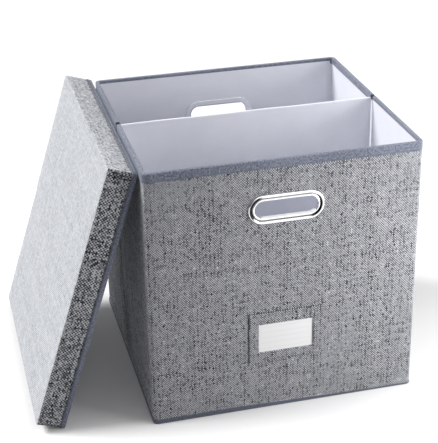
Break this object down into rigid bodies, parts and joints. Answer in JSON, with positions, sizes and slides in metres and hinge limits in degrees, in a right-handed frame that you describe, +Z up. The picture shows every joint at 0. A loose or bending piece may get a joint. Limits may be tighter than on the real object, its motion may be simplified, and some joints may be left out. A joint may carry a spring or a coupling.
{
  "type": "record carrying case",
  "caption": "Square cloth-covered storage box for vinyl records with a lift-off lid, a loose divider, metal hand holes and a label pocket.",
  "frame": {"origin": "middle of the case's footprint, on the surface that the case stands on", "axes": "+Z up, -Y out of the front wall with the label pocket, +X to the right seen from the front; the lid leans on the left wall, on the -X side"},
  "size_m": [0.5186, 0.384, 0.3679],
  "materials": {
    "linen_cloth": "heathered weave",
    "binding_tape": "fine twill",
    "lining": "matt",
    "grey_board": "matt",
    "chrome": "polished",
    "card": "matt",
    "ribbon": "ribbed"
  },
  "bodies": {
    "case": {"front_board": "grey_board", "front_cover": "linen_cloth", "front_liner": "lining", "front_rim_tape": "binding_tape", "front_base_tape": "binding_tape", "front_handle_grommet": "chrome", "front_handle_washer": "chrome", "back_board": "grey_board", "back_cover": "linen_cloth", "back_liner": "lining", "back_rim_tape": "binding_tape", "back_base_tape": "binding_tape", "back_handle_grommet": "chrome", "back_handle_washer": "chrome", "left_front_board": "grey_board", "left_rear_board": "grey_board", "left_cover": "linen_cloth", "left_liner": "lining", "left_rim_tape": "binding_tape", "left_base_tape": "binding_tape", "right_front_board": "grey_board", "right_rear_board": "grey_board", "right_cover": "linen_cloth", "right_liner": "lining", "right_rim_tape": "binding_tape", "right_base_tape": "binding_tape", "floor_cloth": "linen_cloth", "label_pocket": "linen_cloth"},
    "lid": {"lid_cover": "linen_cloth", "lid_top_board": "grey_board", "lid_liner": "lining", "lid_front_board": "grey_board", "lid_front_tape": "binding_tape", "lid_back_board": "grey_board", "lid_back_tape": "binding_tape", "lid_left_board": "grey_board", "lid_left_tape": "binding_tape", "lid_right_board": "grey_board", "lid_right_tape": "binding_tape"},
    "base_board": {"base_board_core": "grey_board", "base_board_wrap": "lining", "base_lift_tab": "ribbon"},
    "divider": {"divider_board": "grey_board", "divider_sleeve": "lining"},
    "label_card": {"label_card": "card"}
  },
  "joints": [
    {"name": "lid_lift", "type": "slide", "parent": "case", "child": "lid", "axis": [0, 0, 1], "range_m": [0, 0.4]},
    {"name": "base_board_lift", "type": "slide", "parent": "case", "child": "base_board", "axis": [0, 0, 1], "range_m": [0, 0.38]},
    {"name": "divider_lift", "type": "slide", "parent": "base_board", "child": "divider", "axis": [0, 0, 1], "range_m": [0, 0.38]},
    {"name": "label_card_lift", "type": "slide", "parent": "case", "child": "label_card", "axis": [0, 0, 1], "range_m": [0, 0.07]}
  ]
}
